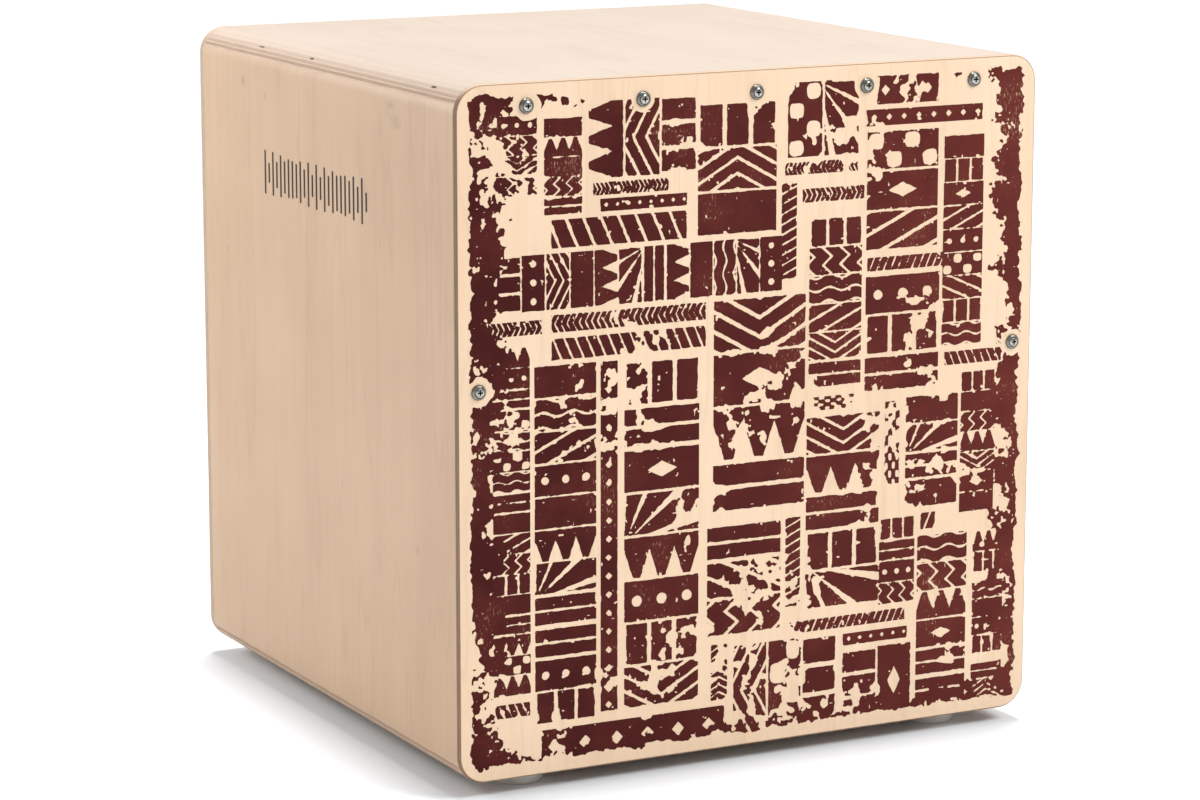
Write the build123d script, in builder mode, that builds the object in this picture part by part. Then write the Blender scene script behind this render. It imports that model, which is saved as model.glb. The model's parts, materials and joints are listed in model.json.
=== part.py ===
from build123d import *
from math import asin, cos, hypot, sin, tan
import os

# A box drum (cajon): a plywood box on rubber feet, with a thin front plate (the tapa) that is glued at its
# foot and screwed along its top and sides, and two sets of snare wires that lean on the tapa's inside.
# Sizes are in millimetres. +Z is up, the tapa faces -Y, and the origin is on the floor under the box.

# Driving dimensions of the box
BODY_WIDTH = 420.0
BODY_DEPTH = 420.0
BODY_HEIGHT = 440.0
FOOT_HEIGHT = 10.0
CORNER_RADIUS = 18.0
PANEL_THICKNESS = 12.0
TAPA_THICKNESS = 4.0
BACK_THICKNESS = 9.0
FRONT_EDGE_RADIUS = 1.5
BACK_EDGE_RADIUS = 3.0
JOINT_CHAMFER = 0.4
SOUND_HOLE_RADIUS = 60.0
SOUND_HOLE_ABOVE_MIDDLE = 30.0
SOUND_HOLE_EDGE_RADIUS = 1.5

# Driving dimensions of the frame strips behind the tapa
STRIP_WIDTH = 18.0
STRIP_DEPTH = 15.0

# Driving dimensions of the tapa's screws and cup washers
SCREW_INSET = 14.5
TOP_SCREW_SPACING = 81.0
SIDE_SCREW_BELOW_TOP = 190.0
SCREW_RADIUS = 1.5
SCREW_LENGTH = 17.0
SCREW_TIP = 3.0
SCREW_NECK = 0.1
HEAD_RIM = 1.95
HEAD_DOME = 0.85
RECESS_REACH = 3.6
RECESS_SLOT = 1.0
RECESS_DEPTH = 1.6
HEAD_TO_WASHER = 0.2
WASHER_RADIUS = 5.0
WASHER_HEIGHT = 1.9
WASHER_SKIRT = 0.3
WASHER_LIP = 0.4
WASHER_CROWN_RADIUS = 2.2
RUNNING_CLEARANCE = 0.05
TAPA_HOLE_CLEARANCE = 0.5

# Driving dimensions of the snare unit
SNARE_BAR_HEIGHT = 18.0
SNARE_BAR_DEPTH = 26.0
SNARE_BAR_BELOW_TOP = 118.0
BAR_BEHIND_STRIPS = 2.0
CLEAT_WIDTH = 18.0
CLEAT_HEIGHT = 30.0
STRAND_COUNT = 20
STRAND_PITCH = 2.6
STRAND_RADIUS = 0.9
STRAND_LENGTH = 85.0
STRAND_TO_TAPA = 0.4
SNARE_SET_OFFSET = 62.0
PLATE_THICKNESS = 1.2
PLATE_HEIGHT = 12.0
PLATE_MARGIN = 3.0
PLATE_CORNER_RADIUS = 1.0
SNARE_SCREW_RADIUS = 1.5
SNARE_SCREW_LENGTH = 12.0
SNARE_SCREW_INSET = 8.0
SNARE_HEAD_RADIUS = 3.0
SNARE_HEAD_HEIGHT = 1.8
BAR_SCREW_RADIUS = 2.0
BAR_SCREW_IN_CLEAT = 14.0
LARGE_HEAD_RADIUS = 4.0
LARGE_HEAD_HEIGHT = 2.4

# Driving dimensions of the feet
FOOT_TOP_RADIUS = 19.0
FOOT_BOTTOM_RADIUS = 16.5
FOOT_EDGE_RADIUS = 1.5
FOOT_INSET_X = 55.0
FOOT_INSET_Y = 32.0
FOOT_WELL_RADIUS = 6.6
FOOT_WELL_DEPTH = 6.0
FLAT_WASHER_RADIUS = 6.0
FLAT_WASHER_THICKNESS = 1.0
FOOT_SCREW_RADIUS = 2.0
FOOT_SCREW_LENGTH = 14.0

# Places that follow from the driving dimensions
BODY_TOP = FOOT_HEIGHT + BODY_HEIGHT
BODY_MIDDLE = FOOT_HEIGHT + BODY_HEIGHT / 2
INNER_WIDTH = BODY_WIDTH - 2 * PANEL_THICKNESS
INNER_TOP = BODY_TOP - PANEL_THICKNESS
INNER_BOTTOM = FOOT_HEIGHT + PANEL_THICKNESS
FRONT_Y = -BODY_DEPTH / 2
TAPA_BACK_Y = FRONT_Y + TAPA_THICKNESS
STRIP_BACK_Y = TAPA_BACK_Y + STRIP_DEPTH
BACK_Y = BODY_DEPTH / 2
SHELL_BACK_Y = BACK_Y - BACK_THICKNESS
SHELL_DEPTH = SHELL_BACK_Y - TAPA_BACK_Y
TOP_SCREW_Z = BODY_TOP - SCREW_INSET
SLAP_SCREW_X = 2 * TOP_SCREW_SPACING
FIXED_TOP_POINTS = [(x, TOP_SCREW_Z) for x in (-TOP_SCREW_SPACING, 0, TOP_SCREW_SPACING)]
SIDE_SCREW_X = BODY_WIDTH / 2 - SCREW_INSET
SIDE_POINTS = [(x, BODY_TOP - SIDE_SCREW_BELOW_TOP) for x in (-SIDE_SCREW_X, SIDE_SCREW_X)]
SLAP_POINTS = {"left": (-SLAP_SCREW_X, TOP_SCREW_Z), "right": (SLAP_SCREW_X, TOP_SCREW_Z)}
FIXED_POINTS = FIXED_TOP_POINTS + SIDE_POINTS
FOOT_X = BODY_WIDTH / 2 - FOOT_INSET_X
FOOT_POINTS = {
    "front_left": (-FOOT_X, FRONT_Y + FOOT_INSET_Y),
    "front_right": (FOOT_X, FRONT_Y + FOOT_INSET_Y),
    "back_left": (-FOOT_X, BACK_Y - FOOT_INSET_Y),
    "back_right": (FOOT_X, BACK_Y - FOOT_INSET_Y),
}

os.makedirs("parts", exist_ok=True)


def upright(y):
    """The vertical plane at depth y: its own axes are X and Z, and its normal points forwards."""
    return Plane.XZ.offset(-y)


def forward_axis(point, y):
    """The plane square to the screw at the front-view point, with its normal pointing forwards."""
    return Location(Plane(origin=(point[0], y, point[1]), x_dir=(1, 0, 0), z_dir=(0, -1, 0)))


def save(piece, name):
    """Labels a finished piece and writes it as its own file."""
    piece.label = name
    export_step(piece, f"parts/{name}.step")


def box_outline():
    """The box's outline seen from the front, with its four rounded corners."""
    with Locations((0, BODY_MIDDLE)):
        RectangleRounded(BODY_WIDTH, BODY_HEIGHT, CORNER_RADIUS)


# The shell: the top panel lies over the side panels, and the bottom panel is held between them.
# Each panel is the share of the rounded outline that falls in its own rectangle.
SIDE_HEIGHT = BODY_HEIGHT - PANEL_THICKNESS
SIDE_X = (BODY_WIDTH - PANEL_THICKNESS) / 2
SIDE_Z = FOOT_HEIGHT + SIDE_HEIGHT / 2
TOP_Z = BODY_TOP - PANEL_THICKNESS / 2

with BuildPart() as top_panel:
    with BuildSketch(upright(SHELL_BACK_Y)):
        box_outline()
        with Locations((0, TOP_Z)):
            Rectangle(BODY_WIDTH, PANEL_THICKNESS, mode=Mode.INTERSECT)
    extrude(amount=SHELL_DEPTH)
save(top_panel.part, "top_panel")

for side_name, side_x in (("left", -SIDE_X), ("right", SIDE_X)):
    with BuildPart() as side_panel:
        with BuildSketch(upright(SHELL_BACK_Y)):
            box_outline()
            with Locations((side_x, SIDE_Z)):
                Rectangle(PANEL_THICKNESS, SIDE_HEIGHT, mode=Mode.INTERSECT)
        extrude(amount=SHELL_DEPTH)
    save(side_panel.part, f"{side_name}_side_panel")

# The foot screws go into blind pilot holes in the bottom panel.
FOOT_SCREW_SEAT = FOOT_WELL_DEPTH - FLAT_WASHER_THICKNESS
FOOT_PILOT_DEPTH = FOOT_SCREW_LENGTH - (FOOT_HEIGHT - FOOT_SCREW_SEAT)
with BuildPart() as bottom_panel:
    with BuildSketch(upright(SHELL_BACK_Y)):
        box_outline()
        with Locations((0, FOOT_HEIGHT + PANEL_THICKNESS / 2)):
            Rectangle(INNER_WIDTH, PANEL_THICKNESS, mode=Mode.INTERSECT)
    extrude(amount=SHELL_DEPTH)
    with BuildSketch(Plane.XY.offset(FOOT_HEIGHT)):
        with Locations(*FOOT_POINTS.values()):
            Circle(FOOT_SCREW_RADIUS)
    extrude(amount=FOOT_PILOT_DEPTH, mode=Mode.SUBTRACT)
save(bottom_panel.part, "bottom_panel")

# The back panel covers the shell's rear and carries the sound hole.
with BuildPart() as back_panel:
    with BuildSketch(upright(BACK_Y)):
        box_outline()
    extrude(amount=BACK_THICKNESS)
    fillet(back_panel.faces().sort_by(Axis.Y)[-1].edges(), BACK_EDGE_RADIUS)
    chamfer(back_panel.faces().sort_by(Axis.Y)[0].edges(), JOINT_CHAMFER)
    with BuildSketch(upright(BACK_Y)):
        with Locations((0, BODY_MIDDLE + SOUND_HOLE_ABOVE_MIDDLE)):
            Circle(SOUND_HOLE_RADIUS)
    extrude(amount=BACK_THICKNESS, mode=Mode.SUBTRACT)
    round_edges = back_panel.edges().filter_by(GeomType.CIRCLE)
    fillet(round_edges.filter_by(lambda edge: edge.radius == SOUND_HOLE_RADIUS), SOUND_HOLE_EDGE_RADIUS)
save(back_panel.part, "back_panel")

# The tapa covers the shell's front. Its screw holes are a little wider than the screws.
with BuildPart() as tapa:
    with BuildSketch(upright(TAPA_BACK_Y)):
        box_outline()
    extrude(amount=TAPA_THICKNESS)
    fillet(tapa.faces().sort_by(Axis.Y)[0].edges(), FRONT_EDGE_RADIUS)
    chamfer(tapa.faces().sort_by(Axis.Y)[-1].edges(), JOINT_CHAMFER)
    with BuildSketch(upright(TAPA_BACK_Y)):
        with Locations(*FIXED_POINTS, *SLAP_POINTS.values()):
            Circle(SCREW_RADIUS + TAPA_HOLE_CLEARANCE)
    extrude(amount=TAPA_THICKNESS, mode=Mode.SUBTRACT)
save(tapa.part, "tapa")

# The frame strips are glued inside the shell's front and take the tapa's screws.
# The fixed screws grip their pilot holes, and the two corner screws turn in theirs.
RAIL_Z = INNER_TOP - STRIP_WIDTH / 2
with BuildPart() as top_rail:
    with BuildSketch(upright(STRIP_BACK_Y)):
        with Locations((0, RAIL_Z)):
            Rectangle(INNER_WIDTH, STRIP_WIDTH)
        with Locations(*FIXED_TOP_POINTS):
            Circle(SCREW_RADIUS, mode=Mode.SUBTRACT)
        with Locations(*SLAP_POINTS.values()):
            Circle(SCREW_RADIUS + RUNNING_CLEARANCE, mode=Mode.SUBTRACT)
    extrude(amount=STRIP_DEPTH)
save(top_rail.part, "front_top_rail")

with BuildPart() as bottom_rail:
    with BuildSketch(upright(STRIP_BACK_Y)):
        with Locations((0, INNER_BOTTOM + STRIP_WIDTH / 2)):
            Rectangle(INNER_WIDTH, STRIP_WIDTH)
    extrude(amount=STRIP_DEPTH)
save(bottom_rail.part, "front_bottom_rail")

STILE_HEIGHT = INNER_TOP - INNER_BOTTOM - 2 * STRIP_WIDTH
STILE_X = (INNER_WIDTH - STRIP_WIDTH) / 2
for (side_name, stile_x), screw_point in zip((("left", -STILE_X), ("right", STILE_X)), SIDE_POINTS):
    with BuildPart() as stile:
        with BuildSketch(upright(STRIP_BACK_Y)):
            with Locations((stile_x, (INNER_TOP + INNER_BOTTOM) / 2)):
                Rectangle(STRIP_WIDTH, STILE_HEIGHT)
            with Locations(screw_point):
                Circle(SCREW_RADIUS, mode=Mode.SUBTRACT)
        extrude(amount=STRIP_DEPTH)
    save(stile.part, f"front_{side_name}_stile")


def cross_recess(top, reach, slot_width, depth):
    """The two crossed slots that a screwdriver fits, from the height top down."""
    with BuildSketch(Plane.XY.offset(top)) as cross:
        Rectangle(reach, slot_width)
        Rectangle(slot_width, reach)
    extrude(cross.sketch, amount=-depth, mode=Mode.SUBTRACT)


# A countersunk screw with a domed head, standing along +Z with the tapa's face at its own Z = 0.
# Its neck, where the cone of the head meets the shank, is SCREW_NECK above the tapa's face.
HEAD_RADIUS = SCREW_RADIUS + HEAD_RIM - SCREW_NECK
with BuildPart() as tapa_screw:
    with BuildSketch(Plane.XZ):
        with BuildLine():
            Polyline(
                (0, HEAD_RIM + HEAD_DOME),
                (0, -SCREW_LENGTH),
                (SCREW_RADIUS, SCREW_TIP - SCREW_LENGTH),
                (SCREW_RADIUS, SCREW_NECK),
                (HEAD_RADIUS, HEAD_RIM),
            )
            dome_radius = (HEAD_RADIUS**2 + HEAD_DOME**2) / (2 * HEAD_DOME)
            RadiusArc((HEAD_RADIUS, HEAD_RIM), (0, HEAD_RIM + HEAD_DOME), -dome_radius)
        make_face()
    revolve(axis=Axis.Z)
    cross_recess(HEAD_RIM + HEAD_DOME, RECESS_REACH, RECESS_SLOT, RECESS_DEPTH)

# The cup washer under that head. Its cone is HEAD_TO_WASHER wider than the head's.
CONE_FOOT = HEAD_RADIUS - HEAD_RIM + HEAD_TO_WASHER
with BuildPart() as cup_washer:
    with BuildSketch(Plane.XZ):
        with BuildLine():
            inner_foot = (CONE_FOOT + WASHER_SKIRT, 0)
            inner_rim = (CONE_FOOT + WASHER_HEIGHT, WASHER_HEIGHT)
            outer_rim = (CONE_FOOT + WASHER_HEIGHT + WASHER_LIP, WASHER_HEIGHT)
            outer_skirt = (WASHER_RADIUS, WASHER_SKIRT)
            Polyline(outer_rim, inner_rim, (CONE_FOOT + WASHER_SKIRT, WASHER_SKIRT), inner_foot)
            Polyline(inner_foot, (WASHER_RADIUS, 0), outer_skirt)
            RadiusArc(outer_skirt, outer_rim, -WASHER_CROWN_RADIUS)
        make_face()
    revolve(axis=Axis.Z)

for group_name, fastener in (("tapa_screws", tapa_screw), ("tapa_washers", cup_washer)):
    with BuildPart() as group:
        with Locations(*[forward_axis(point, FRONT_Y) for point in FIXED_POINTS]):
            add(fastener.part)
    save(group.part, group_name)

for side_name, slap_point in SLAP_POINTS.items():
    for kind, fastener in (("screw", tapa_screw), ("washer", cup_washer)):
        with BuildPart() as slap_piece:
            with Locations(forward_axis(slap_point, FRONT_Y)):
                add(fastener.part)
        save(slap_piece.part, f"{side_name}_slap_{kind}")

# The snare bar lies on two cleats behind the frame's stiles. Its front face leans forwards so that the
# strands, which rise from its upper edge, end just behind the tapa.
BAR_TOP = BODY_TOP - SNARE_BAR_BELOW_TOP
BAR_BOTTOM = BAR_TOP - SNARE_BAR_HEIGHT
BAR_FRONT_Y = STRIP_BACK_Y + BAR_BEHIND_STRIPS
BAR_BACK_Y = BAR_FRONT_Y + SNARE_BAR_DEPTH


def strand_lean():
    """The lean from the vertical, in radians, that ends the strands at STRAND_TO_TAPA from the tapa."""
    reach = BAR_FRONT_Y - TAPA_BACK_Y - STRAND_TO_TAPA
    # The strand's front edge is half a plate and a strand's radius in front of the bar's leaning face.
    front_offset = PLATE_THICKNESS / 2 + STRAND_RADIUS
    span = hypot(STRAND_LENGTH, front_offset)
    return asin(reach / span) - asin(front_offset / span)


LEAN = strand_lean()
STRAND_DIRECTION = (0, -sin(LEAN), cos(LEAN))
FACE_NORMAL = (0, -cos(LEAN), -sin(LEAN))
BAR_FACE_DROP = SNARE_BAR_HEIGHT * tan(LEAN)
PLATE_WIDTH = (STRAND_COUNT - 1) * STRAND_PITCH + 2 * PLATE_MARGIN
SNARE_SCREW_X = PLATE_WIDTH / 2 - SNARE_SCREW_INSET
CLEAT_X = (INNER_WIDTH - CLEAT_WIDTH) / 2
BAR_SCREW_Y = (BAR_FRONT_Y + BAR_FACE_DROP + BAR_BACK_Y) / 2
SNARE_CENTRES = {"left": -SNARE_SET_OFFSET, "right": SNARE_SET_OFFSET}


def snare_plane(centre_x):
    """The plane square to a snare set's strands, at the bar's upper edge, in the middle of the plate."""
    origin = Vector(centre_x, BAR_FRONT_Y, BAR_TOP) + Vector(*FACE_NORMAL) * (PLATE_THICKNESS / 2)
    return Plane(origin=origin, x_dir=(1, 0, 0), z_dir=STRAND_DIRECTION)


def plate_face(centre_x):
    """The plane of a snare plate's front face, with its origin in the middle of the plate."""
    down = Vector(*STRAND_DIRECTION) * (-PLATE_HEIGHT / 2)
    origin = Vector(centre_x, BAR_FRONT_Y, BAR_TOP) + Vector(*FACE_NORMAL) * PLATE_THICKNESS + down
    return Plane(origin=origin, x_dir=(1, 0, 0), z_dir=FACE_NORMAL)


with BuildPart() as snare_bar:
    with BuildSketch(Plane.YZ.offset(-INNER_WIDTH / 2)):
        with BuildLine():
            Polyline(
                (BAR_FRONT_Y, BAR_TOP),
                (BAR_FRONT_Y + BAR_FACE_DROP, BAR_BOTTOM),
                (BAR_BACK_Y, BAR_BOTTOM),
                (BAR_BACK_Y, BAR_TOP),
                close=True,
            )
        make_face()
    extrude(amount=INNER_WIDTH)
    with BuildSketch(Plane.XY.offset(BAR_TOP)):
        with Locations((-CLEAT_X, BAR_SCREW_Y), (CLEAT_X, BAR_SCREW_Y)):
            Circle(BAR_SCREW_RADIUS)
    extrude(amount=-SNARE_BAR_HEIGHT, mode=Mode.SUBTRACT)
    for centre_x in SNARE_CENTRES.values():
        with BuildSketch(plate_face(centre_x)):
            with Locations((-SNARE_SCREW_X, 0), (SNARE_SCREW_X, 0)):
                Circle(SNARE_SCREW_RADIUS)
        extrude(amount=-SNARE_SCREW_LENGTH, mode=Mode.SUBTRACT)
save(snare_bar.part, "snare_bar")

for side_name, cleat_x in (("left", -CLEAT_X), ("right", CLEAT_X)):
    with BuildPart() as cleat:
        with BuildSketch(Plane.XY.offset(BAR_BOTTOM)):
            with Locations((cleat_x, (STRIP_BACK_Y + BAR_BACK_Y) / 2)):
                Rectangle(CLEAT_WIDTH, BAR_BACK_Y - STRIP_BACK_Y)
        extrude(amount=-CLEAT_HEIGHT)
        with BuildSketch(Plane.XY.offset(BAR_BOTTOM)):
            with Locations((cleat_x, BAR_SCREW_Y)):
                Circle(BAR_SCREW_RADIUS)
        extrude(amount=-BAR_SCREW_IN_CLEAT, mode=Mode.SUBTRACT)
    save(cleat.part, f"{side_name}_bar_cleat")

for side_name, centre_x in SNARE_CENTRES.items():
    with BuildPart() as snare_plate:
        with BuildSketch(plate_face(centre_x)):
            RectangleRounded(PLATE_WIDTH, PLATE_HEIGHT, PLATE_CORNER_RADIUS)
            with Locations((-SNARE_SCREW_X, 0), (SNARE_SCREW_X, 0)):
                Circle(SNARE_SCREW_RADIUS, mode=Mode.SUBTRACT)
        extrude(amount=-PLATE_THICKNESS)
    save(snare_plate.part, f"{side_name}_snare_plate")
    with BuildPart() as snare_wires:
        with BuildSketch(snare_plane(centre_x)):
            with GridLocations(STRAND_PITCH, 0, STRAND_COUNT, 1):
                Circle(STRAND_RADIUS)
        extrude(amount=STRAND_LENGTH)
    save(snare_wires.part, f"{side_name}_snare_wires")


def pan_head_screw(shank_radius, length, head_radius, head_height):
    """A wood screw with a rounded flat-bottomed head, standing along +Z with its seat at its own Z = 0."""
    recess_slot = head_radius / 4
    recess_depth = 0.7 * head_height
    with BuildPart() as screw:
        with BuildSketch(Plane.XZ):
            with BuildLine():
                Polyline((head_radius, 0), (shank_radius, 0), (shank_radius, SCREW_TIP - length))
                Polyline((shank_radius, SCREW_TIP - length), (0, -length), (0, head_height))
                Line((0, head_height), (head_radius / 2, head_height))
                Spline((head_radius / 2, head_height), (head_radius, 0), tangents=((1, 0), (0, -1)))
            make_face()
        revolve(axis=Axis.Z)
        cross_recess(head_height, head_radius, recess_slot, recess_depth)
    return screw.part


snare_screw = pan_head_screw(SNARE_SCREW_RADIUS, SNARE_SCREW_LENGTH, SNARE_HEAD_RADIUS, SNARE_HEAD_HEIGHT)
with BuildPart() as snare_screws:
    for centre_x in SNARE_CENTRES.values():
        for screw_x in (centre_x - SNARE_SCREW_X, centre_x + SNARE_SCREW_X):
            with Locations(plate_face(screw_x)):
                add(snare_screw)
save(snare_screws.part, "snare_screws")

bar_screw_length = SNARE_BAR_HEIGHT + BAR_SCREW_IN_CLEAT
bar_screw = pan_head_screw(BAR_SCREW_RADIUS, bar_screw_length, LARGE_HEAD_RADIUS, LARGE_HEAD_HEIGHT)
with BuildPart() as bar_screws:
    with Locations((-CLEAT_X, BAR_SCREW_Y, BAR_TOP), (CLEAT_X, BAR_SCREW_Y, BAR_TOP)):
        add(bar_screw)
save(bar_screws.part, "bar_screws")

# Each rubber foot is a short cone with a well in its sole, where a flat washer and a screw hold it.
for foot_name, (foot_x, foot_y) in FOOT_POINTS.items():
    with BuildPart() as foot:
        with BuildSketch(Plane(origin=(foot_x, foot_y, 0), x_dir=(1, 0, 0), z_dir=(0, -1, 0))):
            with BuildLine():
                Polyline(
                    (FOOT_SCREW_RADIUS, FOOT_HEIGHT),
                    (FOOT_SCREW_RADIUS, FOOT_WELL_DEPTH),
                    (FOOT_WELL_RADIUS, FOOT_WELL_DEPTH),
                    (FOOT_WELL_RADIUS, 0),
                    (FOOT_BOTTOM_RADIUS, 0),
                    (FOOT_TOP_RADIUS, FOOT_HEIGHT),
                    close=True,
                )
            make_face()
        revolve(axis=Axis((foot_x, foot_y, 0), (0, 0, 1)))
        round_edges = foot.edges().filter_by(GeomType.CIRCLE)
        fillet(round_edges.filter_by(lambda edge: edge.radius == FOOT_BOTTOM_RADIUS), FOOT_EDGE_RADIUS)
    save(foot.part, f"{foot_name}_foot")


def downward_axis(point, z):
    """The plane square to a foot's screw at height z, with its normal pointing down."""
    return Location(Plane(origin=(point[0], point[1], z), x_dir=(1, 0, 0), z_dir=(0, 0, -1)))


foot_screw = pan_head_screw(FOOT_SCREW_RADIUS, FOOT_SCREW_LENGTH, LARGE_HEAD_RADIUS, LARGE_HEAD_HEIGHT)
with BuildPart() as foot_screws:
    with Locations(*[downward_axis(point, FOOT_SCREW_SEAT) for point in FOOT_POINTS.values()]):
        add(foot_screw)
save(foot_screws.part, "foot_screws")

with BuildPart() as foot_washers:
    with BuildSketch(Plane.XY.offset(FOOT_SCREW_SEAT)):
        with Locations(*FOOT_POINTS.values()):
            Circle(FLAT_WASHER_RADIUS)
            Circle(FOOT_SCREW_RADIUS, mode=Mode.SUBTRACT)
    extrude(amount=FLAT_WASHER_THICKNESS)
save(foot_washers.part, "foot_washers")
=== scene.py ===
"""The looks of a box drum (cajon).

It has birch plywood panels, a printed front plate, steel screws, snare wires and rubber feet.
"""

import json
import math

import bmesh
import bpy
import numpy as np
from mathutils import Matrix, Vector
from mathutils.geometry import delaunay_2d_cdt


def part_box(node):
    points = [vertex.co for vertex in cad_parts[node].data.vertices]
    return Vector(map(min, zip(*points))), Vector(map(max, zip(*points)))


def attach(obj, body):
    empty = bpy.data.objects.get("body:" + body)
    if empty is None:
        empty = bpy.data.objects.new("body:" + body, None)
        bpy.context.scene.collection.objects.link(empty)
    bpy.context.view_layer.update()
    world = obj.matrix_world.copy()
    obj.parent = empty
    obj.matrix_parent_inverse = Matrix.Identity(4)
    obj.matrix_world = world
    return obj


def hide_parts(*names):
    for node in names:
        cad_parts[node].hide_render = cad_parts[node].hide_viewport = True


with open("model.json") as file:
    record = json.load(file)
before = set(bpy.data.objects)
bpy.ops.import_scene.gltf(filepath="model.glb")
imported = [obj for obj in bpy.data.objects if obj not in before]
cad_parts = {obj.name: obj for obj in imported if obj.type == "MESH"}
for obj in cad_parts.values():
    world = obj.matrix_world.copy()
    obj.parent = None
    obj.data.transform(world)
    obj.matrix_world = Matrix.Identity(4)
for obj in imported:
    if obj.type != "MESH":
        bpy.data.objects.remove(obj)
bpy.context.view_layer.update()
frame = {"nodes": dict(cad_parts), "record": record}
nodes = frame["nodes"]
MM = 0.001


# ---------------------------------------------------------------- camera, light and floor

VIEW_YAW = math.radians(27.4)
VIEW_PITCH = math.radians(10.97)
VIEW_DISTANCE = 2.666
VIEW_AIM = Vector((-0.0043, -0.0036, 0.2028))
VIEW_LENS = 116.4
SENSOR_WIDTH = 36.0

STAGE_RADIUS = 12.0
STAGE_SIDES = 60
WALL_FOOT = -0.1
WALL_HEIGHT = 2.2
SKY_COLOUR = (0.90, 0.95, 1.0, 1.0)
SKY_STRENGTH = 0.42
FLOOR_PAINT = {"Base Color": (0.90, 0.93, 0.97, 1.0), "Roughness": 0.9, "Specular IOR Level": 0.1}
WALL_GLOW = {
    "Base Color": (0.0, 0.0, 0.0, 1.0),
    "Emission Color": (1.0, 1.0, 1.0, 1.0),
    "Emission Strength": 1.0,
}


def add_camera():
    """The camera looks at the front plate from its left, a little from above."""
    level = math.cos(VIEW_PITCH)
    forward = Vector((math.sin(VIEW_YAW) * level, math.cos(VIEW_YAW) * level, -math.sin(VIEW_PITCH)))
    data = bpy.data.cameras.new("camera")
    data.lens = VIEW_LENS
    data.sensor_width = SENSOR_WIDTH
    camera = bpy.data.objects.new("camera", data)
    camera.location = VIEW_AIM - forward * VIEW_DISTANCE
    camera.rotation_euler = forward.to_track_quat("-Z", "Y").to_euler()
    bpy.context.scene.collection.objects.link(camera)
    bpy.context.scene.camera = camera


def add_area_light(name, place, aim, size, power, colour):
    """A square soft light at place that faces aim."""
    data = bpy.data.lights.new(name, "AREA")
    data.size = size
    data.energy = power
    data.color = colour
    light = bpy.data.objects.new(name, data)
    light.location = place
    light.rotation_euler = (Vector(aim) - Vector(place)).to_track_quat("-Z", "Y").to_euler()
    bpy.context.scene.collection.objects.link(light)


def add_sky_light(towards, strength, spread):
    """An even light over the whole floor from one direction, softened by its spread."""
    data = bpy.data.lights.new("overhead", "SUN")
    data.energy = strength
    data.angle = spread
    light = bpy.data.objects.new("overhead", data)
    light.rotation_euler = Vector(towards).to_track_quat("Z", "Y").to_euler()
    bpy.context.scene.collection.objects.link(light)


def add_stage_piece(name, corners, faces, shading):
    """A floor or backdrop mesh whose Principled shader takes the given inputs."""
    mesh = bpy.data.meshes.new(name)
    mesh.from_pydata(corners, [], faces)
    material = bpy.data.materials.new(f"{name}_white")
    material.use_nodes = True
    shader = material.node_tree.nodes["Principled BSDF"]
    for socket, value in shading.items():
        shader.inputs[socket].default_value = value
    mesh.materials.append(material)
    piece = bpy.data.objects.new(name, mesh)
    bpy.context.scene.collection.objects.link(piece)


def add_stage():
    """A white floor with a low glowing wall round it, under a soft sky, with no tone curve."""
    scene = bpy.context.scene
    scene.view_settings.view_transform = "Standard"
    scene.view_settings.look = "None"
    world = bpy.data.worlds.new("studio")
    world.use_nodes = True
    background = world.node_tree.nodes["Background"]
    background.inputs["Color"].default_value = SKY_COLOUR
    background.inputs["Strength"].default_value = SKY_STRENGTH
    scene.world = world
    turns = [math.radians(360 / STAGE_SIDES * k) for k in range(STAGE_SIDES)]
    rim = [(STAGE_RADIUS * math.cos(turn), STAGE_RADIUS * math.sin(turn)) for turn in turns]
    count = len(rim)
    ground = [(x, y, 0.0) for x, y in rim]
    wall = [(x, y, z) for z in (WALL_FOOT, WALL_HEIGHT) for x, y in rim]
    around = [(k, (k + 1) % count, (k + 1) % count + count, k + count) for k in range(count)]
    add_stage_piece("floor", ground, [tuple(range(count))], FLOOR_PAINT)
    add_stage_piece("backdrop", wall, around, WALL_GLOW)


add_camera()
add_area_light(
    "key", place=(1.3, -1.8, 2.3), aim=(0, 0, 0.2), size=1.2, power=56.0, colour=(1.0, 0.985, 0.96)
)
add_area_light(
    "left", place=(-1.0, 0.9, 0.72), aim=(-0.2, 0.1, 0.35), size=0.5, power=9.1, colour=(1.0, 0.98, 0.95)
)
add_sky_light(towards=(0.055, 0.075, 1.0), strength=2.3, spread=math.radians(10))
add_stage()


# ---------------------------------------------------------------- node graphs


class Signal:
    """One output of a material's node graph. Sums with it add Math nodes."""

    def __init__(self, graph, socket):
        self.graph = graph
        self.socket = socket

    def maths(self, operation, *others, clamp=False):
        return self.graph.maths(operation, self, *others, clamp=clamp)

    def __add__(self, other):
        return self.maths("ADD", other)

    def __sub__(self, other):
        return self.maths("SUBTRACT", other)

    def __rsub__(self, other):
        return self.graph.maths("SUBTRACT", other, self)

    def __mul__(self, other):
        return self.maths("MULTIPLY", other)

    def __truediv__(self, other):
        return self.maths("DIVIDE", other)

    def __gt__(self, other):
        return self.maths("GREATER_THAN", other)

    def __lt__(self, other):
        return self.maths("LESS_THAN", other)

    __radd__ = __add__
    __rmul__ = __mul__

    def step(self, low, high):
        """0 below low, 1 above high, and a smooth change between them. low may be the higher number."""
        node = self.graph.node("ShaderNodeMapRange", interpolation_type="SMOOTHSTEP")
        for socket, value in zip(node.inputs, (self, low, high, 0.0, 1.0)):
            self.graph.feed(socket, value)
        return Signal(self.graph, node.outputs[0])


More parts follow.
